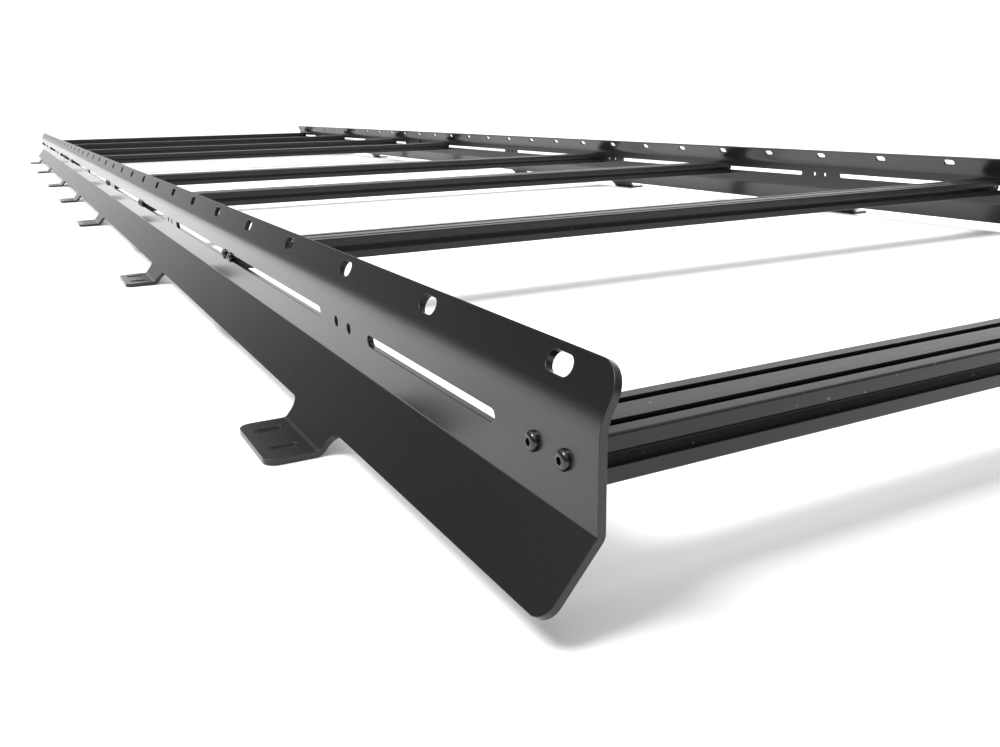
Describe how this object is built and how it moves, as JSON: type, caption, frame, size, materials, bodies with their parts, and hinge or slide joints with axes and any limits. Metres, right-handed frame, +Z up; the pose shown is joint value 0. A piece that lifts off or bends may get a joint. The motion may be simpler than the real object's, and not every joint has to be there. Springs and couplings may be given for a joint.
{
  "type": "roof rack",
  "caption": "Long low van roof rack: two bent side plates on bolt-down feet, joined by slotted crossbars.",
  "frame": {"origin": "bottom centre of the rack, on the plane of the undersides of the feet", "axes": "+X across the rack to the right, +Y along it to the rear, +Z up"},
  "size_m": [1.4976, 4.9682, 0.132],
  "materials": {
    "side_plate": "black powder coat, satin, fine texture",
    "crossbar": "black anodised, satin",
    "splice_plate": "black powder coat, satin",
    "screw": "black oxide"
  },
  "bodies": {
    "root": {"crossbar_1": "crossbar", "crossbar_1_screws": "screw", "crossbar_2": "crossbar", "crossbar_2_screws": "screw", "crossbar_3": "crossbar", "crossbar_3_screws": "screw", "crossbar_4": "crossbar", "crossbar_4_screws": "screw", "crossbar_5": "crossbar", "crossbar_5_screws": "screw", "crossbar_6": "crossbar", "crossbar_6_screws": "screw", "crossbar_7": "crossbar", "crossbar_7_screws": "screw", "crossbar_8": "crossbar", "crossbar_8_screws": "screw", "left_side_plate_front": "side_plate", "left_side_plate_rear": "side_plate", "left_splice_plate": "splice_plate", "left_splice_screws": "screw", "right_side_plate_front": "side_plate", "right_side_plate_rear": "side_plate", "right_splice_plate": "splice_plate", "right_splice_screws": "screw"}
  },
  "joints": []
}
